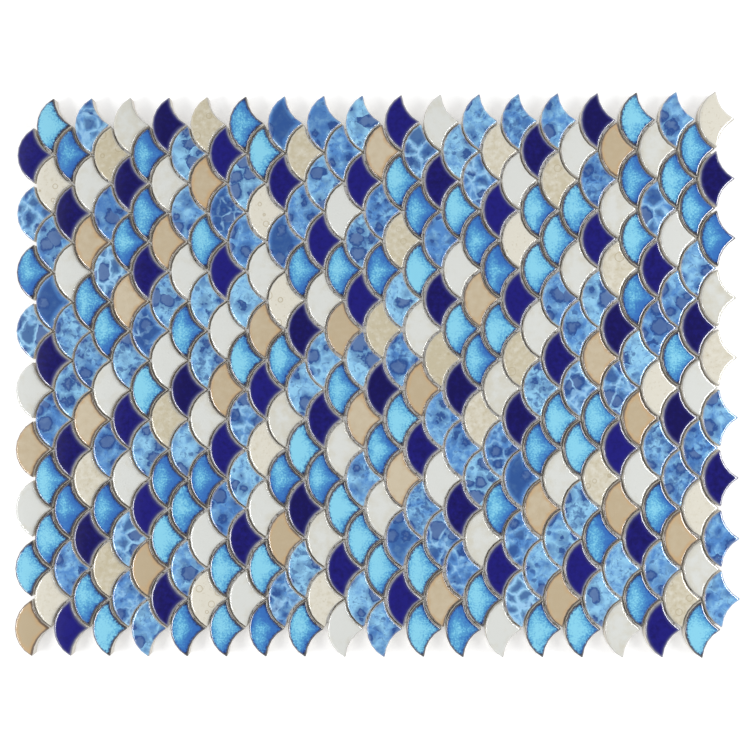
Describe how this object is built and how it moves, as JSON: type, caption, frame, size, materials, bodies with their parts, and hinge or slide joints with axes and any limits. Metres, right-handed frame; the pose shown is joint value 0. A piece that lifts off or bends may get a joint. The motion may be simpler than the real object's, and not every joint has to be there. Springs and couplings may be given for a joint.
{
  "type": "fish scale mosaic tile panel",
  "caption": "Flat panel of interlocking fan-shaped glazed ceramic mosaic tiles in blended blues, white, ivory and tan, with open joints, held by a net on the back.",
  "frame": {"origin": "middle of the panel, on the back of its net, which lies on the floor or against the wall", "axes": "+X across the columns towards the tips of the fans, +Y along the columns, +Z out of the glazed face"},
  "size_m": [0.4368, 0.3404, 0.0065],
  "materials": {
    "cobalt_glaze": "deep even cobalt gloss",
    "turquoise_glaze": "reactive turquoise gloss with dark edges",
    "marbled_blue_glaze": "light blue gloss with dark blue cells",
    "white_glaze": "plain white gloss",
    "ivory_glaze": "ivory gloss with rings and craters",
    "tan_glaze": "caramel gloss, browner at the edges",
    "glass_fibre_net": "open woven net with dried glue"
  },
  "bodies": {
    "root": {"cobalt_tiles": "cobalt_glaze", "turquoise_tiles": "turquoise_glaze", "marbled_blue_tiles": "marbled_blue_glaze", "white_tiles": "white_glaze", "ivory_tiles": "ivory_glaze", "tan_tiles": "tan_glaze", "mesh_backing": "glass_fibre_net"}
  },
  "joints": []
}
